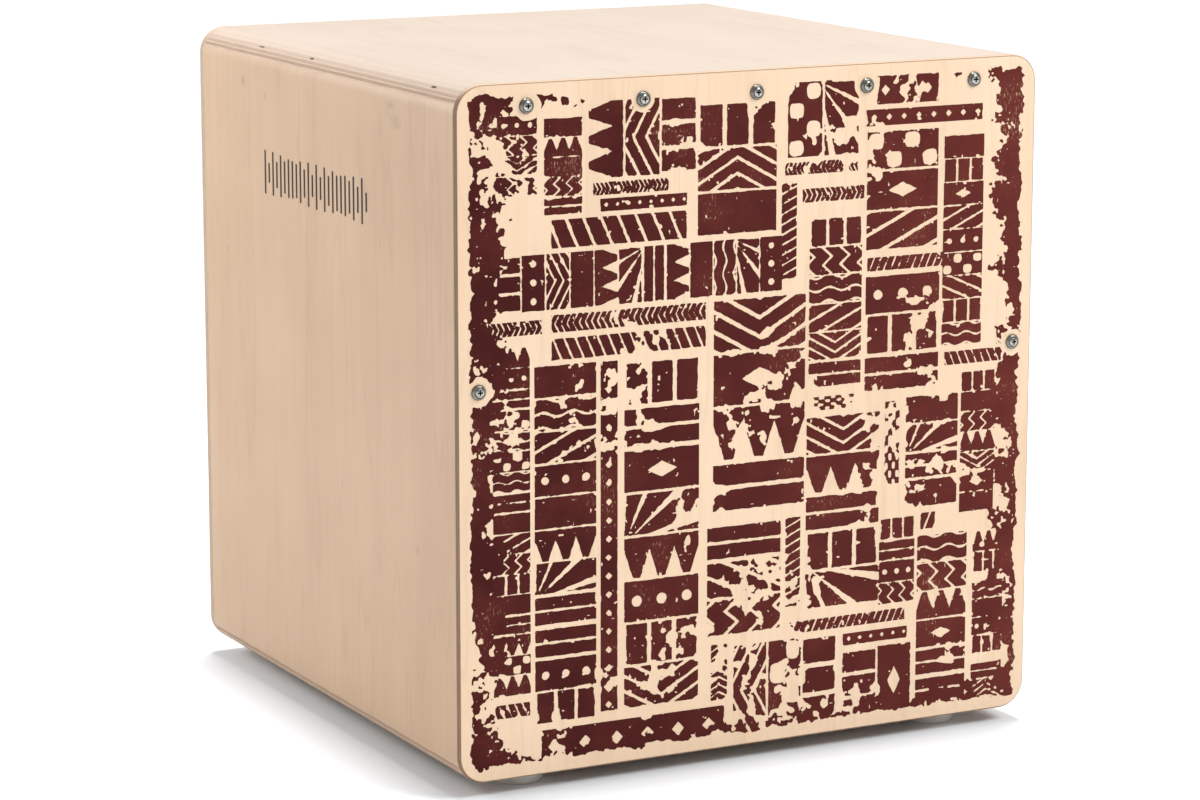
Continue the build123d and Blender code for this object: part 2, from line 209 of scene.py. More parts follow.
class Graph:
    """A new material with a Principled shader, and short ways to build what feeds it."""

    def __init__(self, name):
        self.material = bpy.data.materials.new(name)
        self.material.use_nodes = True
        self.tree = self.material.node_tree
        self.tree.nodes.clear()
        self.shader = self.node("ShaderNodeBsdfPrincipled")
        output = self.node("ShaderNodeOutputMaterial")
        self.tree.links.new(self.shader.outputs[0], output.inputs[0])

    def node(self, kind, **settings):
        made = self.tree.nodes.new(kind)
        for key, value in settings.items():
            setattr(made, key, value)
        return made

    def feed(self, socket, value):
        """Links a Signal to the socket, or sets the socket to a number, a vector or a colour."""
        if isinstance(value, Signal):
            self.tree.links.new(value.socket, socket)
        elif hasattr(value, "__len__") and len(socket.default_value) == 4 and len(value) == 3:
            socket.default_value = (*value, 1.0)
        else:
            socket.default_value = value

    def set(self, **values):
        """Feeds the Principled shader's inputs. An underscore in a name stands for a space."""
        for key, value in values.items():
            self.feed(self.shader.inputs[key.replace("_", " ")], value)

    def maths(self, operation, *values, clamp=False):
        node = self.node("ShaderNodeMath", operation=operation, use_clamp=clamp)
        for socket, value in zip(node.inputs, values):
            self.feed(socket, value)
        return Signal(self, node.outputs[0])

    def place(self):
        """The point's x, y and z in the row frame, in metres."""
        split = self.node("ShaderNodeSeparateXYZ")
        self.tree.links.new(self.node("ShaderNodeTexCoord").outputs["Object"], split.inputs[0])
        return [Signal(self, socket) for socket in split.outputs]

    def facing(self):
        """The surface normal's x, y and z."""
        split = self.node("ShaderNodeSeparateXYZ")
        self.tree.links.new(self.node("ShaderNodeTexCoord").outputs["Normal"], split.inputs[0])
        return [Signal(self, socket) for socket in split.outputs]

    def vector(self, x, y, z):
        node = self.node("ShaderNodeCombineXYZ")
        for socket, value in zip(node.inputs, (x, y, z)):
            self.feed(socket, value)
        return Signal(self, node.outputs[0])

    def noise(self, vector, scale=1.0, detail=2.0, roughness=0.5):
        """Smooth noise from 0 to 1 around one half."""
        node = self.node("ShaderNodeTexNoise")
        self.feed(node.inputs["Vector"], vector)
        node.inputs["Scale"].default_value = scale
        node.inputs["Detail"].default_value = detail
        node.inputs["Roughness"].default_value = roughness
        return Signal(self, node.outputs[0])

    def mix(self, share, a, b):
        """Colour a where share is 0, and colour b where it is 1."""
        node = self.node("ShaderNodeMix", data_type="RGBA")
        for socket, value in zip((node.inputs[0], node.inputs[6], node.inputs[7]), (share, a, b)):
            self.feed(socket, value)
        return Signal(self, node.outputs[2])

    def bump(self, height, distance, strength=1.0):
        """Feeds the shader's normal with a height, where 1 stands for distance metres."""
        node = self.node("ShaderNodeBump")
        self.feed(node.inputs["Height"], height)
        node.inputs["Distance"].default_value = distance
        node.inputs["Strength"].default_value = strength
        self.tree.links.new(node.outputs[0], self.shader.inputs["Normal"])


# ---------------------------------------------------------------- wood

X, Y, Z = 0, 1, 2
BIRCH_WARM = (0.60, 0.41, 0.25)
GLUE = (0.16, 0.09, 0.055)
KNOT = (0.24, 0.145, 0.09)
VOID = (0.035, 0.02, 0.015)


def stretched(place, axis, along_scale, across_scale):
    """The coordinates of place, scaled by along_scale on one axis and by across_scale on the others."""
    return [part * (along_scale if k == axis else across_scale) for k, part in enumerate(place)]


def grain(graph, place, along, seed):
    """Fibres, slow figure and pores of wood whose grain runs along one axis: three signals from 0 to 1."""
    signals = []
    for across_scale, along_scale, detail in ((380.0, 7.0, 3.0), (20.0, 2.4, 3.0), (1300.0, 70.0, 1.0)):
        point = [part + seed for part in stretched(place, along, along_scale, across_scale)]
        signals.append(graph.noise(graph.vector(*point), detail=detail))
    return signals


def veneer_colour(graph, place, along, seed, pale, warm, line):
    """The colour of a birch veneer, and its height for bump."""
    fibres, figure, pores = grain(graph, place, along, seed)
    cloud = graph.noise(graph.vector(place[X] + seed, place[Y], place[Z]), scale=9.0, detail=3.0)
    rings = (figure * 6.0 + fibres * 0.25).maths("PINGPONG", 0.5) * 2.0
    tone = fibres.step(0.30, 0.75) * 0.22 + figure.step(0.25, 0.75) * 0.45 + cloud.step(0.3, 0.7) * 0.4
    colour = graph.mix(tone.maths("MINIMUM", 1.0), pale, warm)
    darker = tuple(0.72 * part for part in line)
    colour = graph.mix(rings.step(0.80, 1.0) * 0.16, colour, darker)
    colour = graph.mix(pores.step(0.66, 0.74) * 0.22, colour, darker)
    height = fibres * 0.35 - pores.step(0.62, 0.74) * 0.6
    return colour, height


def spots(graph, place, centres, across, along):
    """1 inside soft uneven ovals round the centres, which are places in metres. along is the longer axis."""
    total = 0.0
    wobble = (graph.noise(graph.vector(*place), scale=260.0, detail=3.0) - 0.5) * 1.6
    for centre, radius, length in centres:
        wide = (place[across] - centre[across]) / radius
        long = (place[along] - centre[along]) / length
        distance = (wide * wide + long * long).maths("SQRT") + wobble
        total = (1.0 - distance.step(0.1, 1.15)).maths("MAXIMUM", total)
    return total


def plywood(name, stack, start, thickness, plies, along, across, colours, seed=0.0, knots=(), voids=()):
    """Plywood as a solid, its plies stacked from start along the stack axis and every second one crossed.

    colours are the face veneer's pale and warm tones, and the tones of the long and the crossed plies' edges.
    knots are brown marks in the face, and voids are dark gaps in the edge, each as (centre, radius, length).
    """
    pale, warm, edge_long, edge_cross = colours
    graph = Graph(name)
    place = graph.place()
    depth = (place[stack] - start).maths("MAXIMUM", 0.0).maths("MINIMUM", thickness)
    level = depth * (plies / thickness)
    # 0 in the middle of a ply that runs with the face, and 1 in the middle of a crossed ply.
    middle = (level - 0.5).maths("PINGPONG", 1.0)
    inner = (level - 0.35).step(0.0, 0.1) * (plies - 0.35 - level).step(0.0, 0.1)
    core = middle.step(0.45, 0.62) * inner
    glue = (1.0 - (middle - 0.5).maths("ABSOLUTE").step(0.04, 0.16)) * inner
    face_colour, face_height = veneer_colour(graph, place, along, seed, pale, warm, warm)
    streaks = graph.noise(graph.vector(*stretched(place, stack, 900.0, 60.0)), detail=3.0)
    edge_colour = graph.mix(streaks.step(0.3, 0.75), edge_long, tuple(0.82 * part for part in edge_long))
    edge_colour = graph.mix(core * (0.55 + streaks * 0.5), edge_colour, edge_cross)
    edge_colour = graph.mix(glue * 0.45, edge_colour, GLUE)
    facing = graph.facing()
    # Painted light: an edge that faces up is painted as pale as the face, as the light from above falls on
    # it.
    edge_colour = graph.mix(facing[Z].step(0.4, 0.95) * 0.8, edge_colour, pale)
    if knots:
        flecks = graph.noise(graph.vector(*stretched(place, along, 220.0, 700.0)), detail=2.0)
        knot = spots(graph, place, knots, across, along) * (0.25 + flecks.step(0.45, 0.65) * 0.75)
        face_colour = graph.mix(knot * 0.55, face_colour, KNOT)
    if voids:
        void = spots(graph, place, voids, stack, along)
        edge_colour = graph.mix(void, edge_colour, VOID)
    on_edge = 1.0 - facing[stack].maths("ABSOLUTE").step(0.92, 0.985)
    colour = graph.mix(on_edge, face_colour, edge_colour)
    height = face_height * (1.0 - on_edge) - (core + glue) * on_edge
    graph.set(Base_Color=colour, Roughness=0.44 + on_edge * 0.2 + face_height * 0.06)
    graph.shader.inputs["Specular IOR Level"].default_value = 0.3
    graph.bump(height, 0.04 * MM)
    return graph.material


def give(material, *names):
    """Gives CAD nodes one material."""
    for name in names:
        mesh = nodes[name].data
        mesh.materials.clear()
        mesh.materials.append(material)


TOP_TONES = ((0.665, 0.55, 0.46), (0.605, 0.485, 0.393), (0.55, 0.395, 0.28), (0.33, 0.205, 0.135))
SIDE_TONES = ((0.527, 0.353, 0.223), (0.451, 0.291, 0.175), (0.60, 0.44, 0.31), (0.34, 0.21, 0.13))
# The bottom panel's tones are darker than the sides': painted shade, so that little light bounces into the
# gap under the box.
BOTTOM_TONES = ((0.40, 0.27, 0.17), (0.33, 0.215, 0.125), (0.60, 0.44, 0.31), (0.34, 0.21, 0.13))
BACK_TONES = ((0.66, 0.515, 0.385), (0.575, 0.425, 0.295), (0.55, 0.42, 0.30), (0.32, 0.215, 0.14))
# The tapa's edge tones are dark brown: partly its end grain, and partly painted shade of the gap between the
# tapa and the side panels.
TAPA_TONES = ((0.778, 0.581, 0.411), (0.70, 0.497, 0.328), (0.27, 0.165, 0.10), (0.13, 0.075, 0.045))

# Each side's knots: distance behind the tapa's face, distance below the top, radius and half length, in mm.
SIDE_KNOTS = {
    "left": [
        (96, 22, 10, 6), (88, 31, 9, 6), (338, 30, 6, 5), (300, 36, 4, 3), (372, 150, 3, 5), (60, 300, 3, 4),
    ],
    "right": [(140, 210, 4, 8), (310, 90, 3, 5), (250, 350, 2, 4)],
}

# The gaps in the top panel's edge: distances behind the tapa's face, one height, and one size, in mm.
VOID_DEPTHS = (42.0, 232.0, 318.0)
VOID_BELOW_TOP = 5.0
VOID_RADIUS = 0.7
VOID_LENGTH = 5.0

SHELL_PLIES = 9
BACK_PLIES = 7
TAPA_PLIES = 3

tapa_low, tapa_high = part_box("tapa")
top_low, top_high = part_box("top_panel")
shell_thickness = top_high.z - top_low.z


def mark_place(behind_tapa, below_top, radius, length):
    """A knot or void as (centre, radius, length) in metres. The arguments are in millimetres."""
    centre = (0, tapa_low.y + behind_tapa * MM, top_high.z - below_top * MM)
    return centre, radius * MM, length * MM


def dress_level_panels():
    """The top and bottom panels, whose grain runs from front to back, and the gaps in the top's edge."""
    voids = [mark_place(depth, VOID_BELOW_TOP, VOID_RADIUS, VOID_LENGTH) for depth in VOID_DEPTHS]
    layers = (shell_thickness, SHELL_PLIES, Y, X)
    give(plywood("top_plywood", Z, top_low.z, *layers, TOP_TONES, voids=voids), "top_panel")
    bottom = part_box("bottom_panel")[0].z
    give(plywood("bottom_plywood", Z, bottom, *layers, BOTTOM_TONES, seed=3.0), "bottom_panel")


def dress_side_panel(side, seed):
    """A side panel, whose grain is upright, with its knots."""
    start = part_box(f"{side}_side_panel")[0].x
    knots = [mark_place(*knot) for knot in SIDE_KNOTS[side]]
    wood = plywood(f"{side}_plywood", X, start, shell_thickness, SHELL_PLIES, Z, Y, SIDE_TONES, seed, knots)
    give(wood, f"{side}_side_panel")


def dress_front_and_back():
    """The back panel and the tapa, whose grain is upright."""
    low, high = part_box("back_panel")
    back_wood = plywood("back_plywood", Y, low.y, high.y - low.y, BACK_PLIES, Z, X, BACK_TONES, seed=4.0)
    give(back_wood, "back_panel")
    thickness = tapa_high.y - tapa_low.y
    tapa_wood = plywood("tapa_plywood", Y, tapa_low.y, thickness, TAPA_PLIES, Z, X, TAPA_TONES, seed=6.0)
    give(tapa_wood, "tapa")


dress_level_panels()
dress_side_panel("left", 1.0)
dress_side_panel("right", 2.0)
dress_front_and_back()


# ---------------------------------------------------------------- printed ink

# The print is a collage of plain ornament: bars, chevrons, rays, teeth, diamonds, dots, checks and waves. It
# is drawn as a field over the tapa's face that is above zero where there is ink, in millimetres from the
# ink's edge. PRINT_STEP is the spacing of its points in millimetres, and PRINT_DEEP is its limit.
PRINT_STEP = 0.8
PRINT_DEEP = 4.0
INK_PROUD = 0.05 * MM
PRINT_SEED = 11
SCREW_CLEARANCE = 6.2
# Two washers on the tapa are always further apart than this, and one washer is always smaller.
WASHER_REACH = 11 * MM

# The collage's runs of shapes: left, right, top and bottom in millimetres from the tapa's top left corner.
# The shapes stand side by side along the run's longer side.
PRINT_RUNS = [
    (28, 55, 20, 70), (60, 86, 23, 84), (90, 167, 14, 62), (93, 148, 65, 73), (98, 161, 75, 83),
    (64, 161, 86, 104), (10, 230, 107, 142), (20, 59, 148, 157), (64, 175, 146, 157),
    (64, 175, 161, 174), (168, 225, 20, 104), (232, 286, 10, 58), (230, 286, 61, 69),
    (243, 291, 78, 87), (229, 240, 73, 136), (250, 289, 98, 209), (250, 285, 214, 223),
    (249, 304, 227, 355), (180, 247, 145, 285), (176, 230, 291, 365), (234, 245, 291, 352),
    (290, 380, 30, 41), (298, 346, 9, 27), (292, 346, 44, 122), (292, 352, 126, 135),
    (292, 348, 138, 216), (350, 381, 50, 189), (352, 398, 193, 202), (308, 319, 221, 278),
    (324, 364, 220, 295), (366, 393, 207, 302), (305, 332, 300, 358), (336, 348, 299, 310),
    (334, 373, 314, 430), (378, 402, 316, 344), (378, 402, 350, 400), (236, 326, 362, 370),
    (277, 328, 374, 382), (277, 331, 386, 434), (195, 273, 373, 432), (179, 191, 369, 408),
    (24, 50, 164, 386), (53, 96, 177, 407), (99, 111, 177, 405), (116, 170, 180, 405),
    (24, 50, 391, 400), (56, 190, 411, 434), (378, 402, 406, 430),
]


def smooth_noise(shape, cell, seed):
    """Smooth random values from 0 to 1 over a grid. Hills are about cell grid steps wide."""
    source = np.random.default_rng(seed)
    rows, columns = (int(size / cell) + 3 for size in shape)
    knots = source.random((rows, columns))
    v, u = (np.arange(size) / cell for size in shape)
    v0, u0 = v.astype(int), u.astype(int)
    fv, fu = (t * t * (3 - 2 * t) for t in (v - v0, u - u0))
    upper = knots[v0][:, u0] * (1 - fu) + knots[v0][:, u0 + 1] * fu
    lower = knots[v0 + 1][:, u0] * (1 - fu) + knots[v0 + 1][:, u0 + 1] * fu
    return upper * (1 - fv[:, None]) + lower * fv[:, None]


def fractal_noise(shape, cell, seed, octaves=3):
    """Smooth noise with finer and fainter noise laid over it, still from 0 to 1."""
    layers = [smooth_noise(shape, cell / 2**k, seed + k) / 2**k for k in range(octaves)]
    return sum(layers) / sum(1 / 2**k for k in range(octaves))


def stripes(phase, period, ink_share):
    """Distance inside stripes that repeat along phase, in phase's own unit."""
    return period * (ink_share / 2 - np.abs((phase / period) % 1.0 - 0.5))


# Each shape takes a, the distance along the run, and b, the distance across it, within a cell of the given
# length and breadth, and gives the distance inside the ink. The cell's own outline is cut afterwards.
def bars(a, b, length, breadth):
    return stripes(a, length / 2, 0.83)


def cross_bars(a, b, length, breadth):
    return stripes(b, breadth / 3, 0.83)


def block(a, b, length, breadth):
    return np.full(np.shape(a), PRINT_DEEP)


def slanted_bars(a, b, length, breadth):
    return stripes(a + b * 0.45, length / 1.6, 0.82)


def chevrons(a, b, length, breadth):
    return stripes(a + np.abs(b - breadth / 2) * 0.55, length / 2.6, 0.76)


def rays(a, b, length, breadth):
    return stripes(np.arctan2(b, a + length * 0.2), 0.45, 0.78) * np.hypot(a, b)


def zigzag_cuts(a, b, length, breadth):
    tooth = np.abs((a / length * 3) % 2 - 1) - 0.5
    return stripes(b + tooth * breadth / 6, breadth / 3, 0.82)


def wave_cuts(a, b, length, breadth):
    return stripes(a + np.sin(b / breadth * 4 * np.pi) * length * 0.08, length / 2, 0.82)


def diamond_cut(a, b, length, breadth):
    return (np.abs(2 * (a / length % 1) - 1) + np.abs(2 * b / breadth - 1) - 0.40) * length / 2


def dot_cuts(a, b, length, breadth):
    return np.hypot(a % length - length / 2, b % (breadth / 3) - breadth / 6) - length * 0.14


def checkers(a, b, length, breadth):
    squares = np.sin(a / length * 2 * np.pi) * np.sin(b / breadth * 4 * np.pi)
    return (squares + 0.25) * length / 6


def teeth(a, b, length, breadth):
    return (1.30 - a / length - np.abs((b / breadth * 3) % 1 * 2 - 1)) * breadth / 6


SHAPES = [bars, diamond_cut, slanted_bars, dot_cuts, cross_bars, chevrons, block, checkers, teeth,
          wave_cuts, bars, zigzag_cuts, rays, cross_bars]
SMALL_SHAPES = [diamond_cut, slanted_bars, chevrons, checkers]
SMALL_BREADTH = 24.0


def draw_run(field, run, source):
    """Adds one run to the field. A narrow run is one even border, and a wide one is a row of shapes."""
    left, right, top, bottom = run
    rows = slice(round(top / PRINT_STEP), round(bottom / PRINT_STEP) + 1)
    columns = slice(round(left / PRINT_STEP), round(right / PRINT_STEP) + 1)
    v, u = np.mgrid[rows, columns] * PRINT_STEP
    u, v = u - left, v - top
    width, height = right - left, bottom - top
    along, across, reach, breadth = (u, v, width, height) if width > height else (v, u, height, width)
    small = breadth < SMALL_BREADTH
    kinds = SMALL_SHAPES if small else SHAPES
    count = 1 if small else max(1, round(reach / (breadth * 0.5)))
    gap = min(0.07 * reach / count, 2.0) + 0.3
    length = reach / count - gap
    unit = reach / round(reach / breadth) if small else length
    kind = source.integers(len(kinds))
    for index in range(count):
        kind = (kind + source.integers(1, len(kinds))) % len(kinds)
        a = along - index * (length + gap) - gap / 2
        cell = np.minimum(np.minimum(a, length - a), np.minimum(across, breadth - across))
        turned = a if source.random() < 0.5 else length - a
        inside = np.minimum(kinds[kind](turned, across, unit, breadth), cell + PRINT_STEP / 4)
        field[rows, columns] = np.maximum(field[rows, columns], inside)


def print_field(width, height):
    """The field of ink over a face of that size in millimetres, worn and ragged."""
    shape = (round(height / PRINT_STEP) + 1, round(width / PRINT_STEP) + 1)
    source = np.random.default_rng(PRINT_SEED)
    field = np.full(shape, -PRINT_DEEP)
    for run in PRINT_RUNS:
        draw_run(field, run, source)
    v, u = np.mgrid[: shape[0], : shape[1]] * PRINT_STEP
    rough = fractal_noise(shape, 14 / PRINT_STEP, seed=31)
    fine = fractal_noise(shape, 2.8 / PRINT_STEP, seed=41, octaves=2)
    # Solid ragged bands run down both sides and along the foot, and spread over the upper corners.
    band = (rough - 0.5) * 34 + (fine - 0.5) * 16
    sides = np.maximum(band + 27 - u, band + 24 - (width - u))
    foot = band + 14 - (height - v)
    corner = np.maximum(1 - u / 90, 1 - (width - u) / 45)
    head = band + 16 * corner - v + 7
    field = np.maximum.reduce([field, sides, foot, head])
    # The ink stops short of the plate's edges and of the screws.
    margin = 3.5 + rough * 7 + fine * 5
    field = np.minimum.reduce([field, u - margin, width - u - margin, v - margin + 2, height - v - margin])
    for name in ("tapa_washers", "left_slap_washer", "right_slap_washer"):
        for x, z in washer_centres(name):
            field = np.minimum(field, np.hypot(u - x, v - z) - SCREW_CLEARANCE - 6 * rough)
    # Wear: every edge is a little uneven, and the ink is flaked and scratched in patches.
    patches = fractal_noise(shape, 55 / PRINT_STEP, seed=51)
    flakes = fractal_noise(shape, 6 / PRINT_STEP, seed=61)
    scratches = smooth_noise(shape, 2.0 / PRINT_STEP, seed=71)
    wear = np.clip((patches - 0.54) * 6, 0, 1) * np.clip((flakes - 0.54) * 50, 0, 6)
    wear = wear + np.clip((fine * 0.5 + scratches * 0.5 - 0.74) * 40, 0, 3)
    field = np.clip(field, -PRINT_DEEP, PRINT_DEEP / 2) - wear + (fine - 0.46) * 0.9
    field[[0, -1], :] = -1.0
    field[:, [0, -1]] = -1.0
    return field


def washer_centres(name):
    """Each washer's centre on the tapa's face, in millimetres from the face's top left corner."""
    centres = []
    points = np.array([vertex.co for vertex in nodes[name].data.vertices])
    while len(points):
        near = np.abs(points - points[0]).max(axis=1) < WASHER_REACH
        middle = (points[near].min(axis=0) + points[near].max(axis=0)) / 2
        centres.append(((middle[X] - tapa_low.x) / MM, (tapa_high.z - middle[Z]) / MM))
        points = points[~near]
    return centres


def outline_segments(field):
    """The zero line of the field, as short segments between points on the grid's own lines."""
    points, segments, index = [], [], {}

    def crossing(p, q):
        """The point where the field is zero between two neighbouring grid points."""
        key = (p, q)
        if key not in index:
            share = field[p] / (field[p] - field[q])
            index[key] = len(points)
            points.append((p[1] + share * (q[1] - p[1]), p[0] + share * (q[0] - p[0])))
        return index[key]

    ink = field > 0
    mixed = ink[:-1, :-1].astype(int) + ink[1:, :-1] + ink[:-1, 1:] + ink[1:, 1:]
    for row, column in np.argwhere((mixed > 0) & (mixed < 4)).tolist():
        corners = [(row, column), (row, column + 1), (row + 1, column + 1), (row + 1, column)]
        cuts = []
        for p, q in zip(corners, corners[1:] + corners[:1]):
            if ink[p] != ink[q]:
                cuts.append(crossing(min(p, q), max(p, q)))
        middle_ink = field[row : row + 2, column : column + 2].sum() > 0
        if len(cuts) == 4 and middle_ink == ink[corners[0]]:
            cuts = cuts[1:] + cuts[:1]
        segments.extend(zip(cuts[::2], cuts[1::2]))
    return points, segments


def ink_film(name, field, to_place, facing, material):
    """A flat film of ink where the field is above zero, laid on the object by to_place(u, v)."""
    points, segments = outline_segments(field)
    cut = delaunay_2d_cdt([Vector(point) for point in points], segments, [], 0, 1e-6)
    corners = np.array([tuple(point) for point in cut[0]])
    triangles = np.array(cut[2])
    u, v = corners[triangles].mean(axis=1).T
    column, row = u.astype(int), v.astype(int)
    fu, fv = u - column, v - row
    upper = field[row, column] * (1 - fu) + field[row, column + 1] * fu
    lower = field[row + 1, column] * (1 - fu) + field[row + 1, column + 1] * fu
    triangles = triangles[upper * (1 - fv) + lower * fv > 0]
    mesh = bpy.data.meshes.new(name)
    mesh.from_pydata([to_place(*corner) for corner in corners.tolist()], [], triangles.tolist())
    mesh.update()
    if mesh.polygons and mesh.polygons[0].normal.dot(Vector(facing)) < 0:
        mesh.flip_normals()
    cleaner = bmesh.new()
    cleaner.from_mesh(mesh)
    loose = [vertex for vertex in cleaner.verts if not vertex.link_faces]
    bmesh.ops.delete(cleaner, geom=loose, context="VERTS")
    cleaner.to_mesh(mesh)
    cleaner.free()
    mesh.materials.append(material)
    film = bpy.data.objects.new(name, mesh)
    bpy.context.scene.collection.objects.link(film)
    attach(film, "box")


def ink_material(name, fresh, worn):
    """Screen printed ink on veneer: matt, with wood showing through where it is thin."""
    graph = Graph(name)
    place = graph.place()
    cloud = graph.noise(graph.vector(*place), scale=22.0, detail=4.0, roughness=0.6)
    speck = graph.noise(graph.vector(place[X], place[Y], place[Z] * 0.35), scale=900.0, detail=2.0)
    thin = (cloud * 0.5 + speck * 0.5).step(0.60, 0.72)
    # The ink's paler second tone comes in random cloudy patches, and as painted light it also grows towards
    # the plate's right side, where the key light falls.
    share = cloud.step(0.35, 0.75) * 0.5 + place[X].step(-0.25, 0.30) * 0.7
    colour = graph.mix(share.maths("MINIMUM", 1.0), fresh, worn)
    colour = graph.mix(thin * 0.5, colour, BIRCH_WARM)
    graph.set(Base_Color=colour, Roughness=0.55 + speck * 0.15)
    graph.shader.inputs["Specular IOR Level"].default_value = 0.12
    graph.bump(speck, 0.03 * MM)
    return graph.material


def on_tapa(u, v):
    """The place of a print point on the tapa's face, a film's thickness in front of it."""
    return (tapa_low.x + u * PRINT_STEP * MM, tapa_low.y - INK_PROUD, tapa_high.z - v * PRINT_STEP * MM)


tapa_field = print_field((tapa_high.x - tapa_low.x) / MM, (tapa_high.z - tapa_low.z) / MM)
maroon = ink_material("maroon_ink", (0.045, 0.0030, 0.0024), (0.115, 0.018, 0.0125))
ink_film("front_print", tapa_field, on_tapa, (0, -1, 0), maroon)

# The side mark is a row of upright bars of uneven height on the left side panel. Sizes are in millimetres.
MARK_FRONT = 130.0
MARK_LENGTH = 174.0
MARK_BELOW_TOP = 71.0
MARK_HEIGHT = 32.0
MARK_BARS = 26
MARK_BAR_HALF_WIDTH = 1.35


def mark_field():
    """The field of the side mark's ink, from its front upper corner backwards and down."""
    v, u = np.mgrid[: round(MARK_HEIGHT / PRINT_STEP) + 3, : round(MARK_LENGTH / PRINT_STEP) + 3] * PRINT_STEP
    field = np.full(u.shape, -1.0)
    pitch = MARK_LENGTH / MARK_BARS
    for index in range(MARK_BARS):
        middle = PRINT_STEP + (index + 0.5) * pitch
        half_height = MARK_HEIGHT * (0.20 + 0.27 * abs(math.sin(index * 1.7)))
        upright = half_height - np.abs(v - PRINT_STEP - MARK_HEIGHT / 2)
        field = np.maximum(field, np.minimum(MARK_BAR_HALF_WIDTH - np.abs(u - middle), upright))
    return field


def on_left_side(u, v):
    """The place of a mark point on the left side panel, a film's thickness outside it."""
    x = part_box("left_side_panel")[0].x - INK_PROUD
    y = tapa_low.y + (MARK_FRONT + u * PRINT_STEP) * MM
    return (x, y, top_high.z - (MARK_BELOW_TOP + v * PRINT_STEP) * MM)


black = ink_material("black_ink", (0.03, 0.022, 0.018), (0.05, 0.04, 0.035))
ink_film("side_mark", mark_field(), on_left_side, (-1, 0, 0), black)


# ---------------------------------------------------------------- steel, strips and rubber

# The first colour below is painted shade in the screw heads' recesses, where the steel fades to it over
# RECESS_SHADE.
RECESS_PAINTED_SHADE = (0.012, 0.011, 0.010)
RECESS_SHADE = 0.35 * MM
HEAD_RIM = 1.95 * MM


def metal(name, colour, worn, roughness, recess_y=None):
    """Plated steel with fine scratches and cloudy patches, and painted shade behind recess_y, in a screw's
    recess, if that is given.
    """
    graph = Graph(name)
    place = graph.place()
    cloud = graph.noise(graph.vector(*place), scale=420.0, detail=3.0)
    scratch = graph.noise(graph.vector(place[X] * 0.4, place[Y], place[Z] * 3.0), scale=2600.0, detail=2.0)
    tone = graph.mix(cloud.step(0.35, 0.75), colour, worn)
    if recess_y is not None:
        # Painted shade: behind recess_y, inside the recess, the steel fades to near black.
        tone = graph.mix(place[Y].step(recess_y - RECESS_SHADE, recess_y), tone, RECESS_PAINTED_SHADE)
    graph.set(Base_Color=tone, Roughness=roughness + cloud * 0.12 + scratch * 0.08)
    graph.shader.inputs["Metallic"].default_value = 1.0
    graph.bump(scratch, 0.01 * MM)
    return graph.material


def moulded_rubber(name):
    """Light grey rubber with a fine matt grain and a little dust."""
    graph = Graph(name)
    place = graph.place()
    cloud = graph.noise(graph.vector(*place), scale=90.0, detail=3.0)
    pebble = graph.noise(graph.vector(*place), scale=2400.0, detail=2.0)
    graph.set(Base_Color=graph.mix(cloud.step(0.3, 0.8), (0.56, 0.52, 0.48), (0.45, 0.42, 0.39)))
    graph.set(Roughness=0.52 + pebble * 0.12)
    graph.shader.inputs["Subsurface Weight"].default_value = 0.15
    graph.shader.inputs["Subsurface Scale"].default_value = 0.004
    graph.bump(pebble, 0.04 * MM)
    return graph.material


def softwood(name, along, seed):
    """Planed softwood: growth rings cut along the strip, with fine fibres."""
    graph = Graph(name)
    place = graph.place()
    crossing = [axis for axis in (X, Y, Z) if axis != along]
    first, second = (place[axis] + 0.03 * seed for axis in crossing)
    drift = graph.noise(graph.vector(*stretched(place, along, 2.0, 12.0)))
    radius = (first * first + second * second * 0.6).maths("SQRT") * 420.0 + drift * 3.0
    ring = radius.maths("FRACT").step(0.35, 0.95)
    fibre = graph.noise(graph.vector(*stretched(place, along, 14.0, 900.0)), detail=3.0)
    colour = graph.mix(ring * 0.55, (0.63, 0.46, 0.28), (0.42, 0.25, 0.12))
    colour = graph.mix(fibre.step(0.4, 0.8) * 0.3, colour, (0.35, 0.22, 0.12))
    graph.set(Base_Color=colour, Roughness=0.62 + fibre * 0.15)
    graph.shader.inputs["Specular IOR Level"].default_value = 0.25
    graph.bump(fibre - ring * 0.5, 0.04 * MM)
    return graph.material


screw_steel = metal("screw_nickel", (0.42, 0.40, 0.36), (0.28, 0.265, 0.23), 0.20)
head_steel = metal("head_nickel", (0.46, 0.44, 0.39), (0.28, 0.265, 0.23), 0.16, tapa_low.y - HEAD_RIM)
# The washers' steel is much darker than the heads': partly its own tone, and partly painted shade of the dark
# ring round each screw.
washer_steel = metal("washer_nickel", (0.24, 0.235, 0.205), (0.14, 0.135, 0.115), 0.18)
snare_steel = metal("spring_steel", (0.58, 0.57, 0.54), (0.44, 0.43, 0.40), 0.22)
rubber = moulded_rubber("grey_rubber")
slot_materials = {
    "screw_steel": screw_steel,
    "washer_steel": washer_steel,
    "snare_steel": snare_steel,
    "foot_rubber": rubber,
}
for row in frame["record"]["subparts"]:
    if row["material_slot"] in slot_materials:
        give(slot_materials[row["material_slot"]], row["node"])
give(head_steel, "tapa_screws", "left_slap_screw", "right_slap_screw")
upright_timber = softwood("upright_softwood", Z, 1)
level_timber = softwood("level_softwood", X, 2)
give(upright_timber, "front_left_stile", "front_right_stile", "left_bar_cleat", "right_bar_cleat")
give(level_timber, "front_top_rail", "front_bottom_rail", "snare_bar")


# ---------------------------------------------------------------- wire and thread


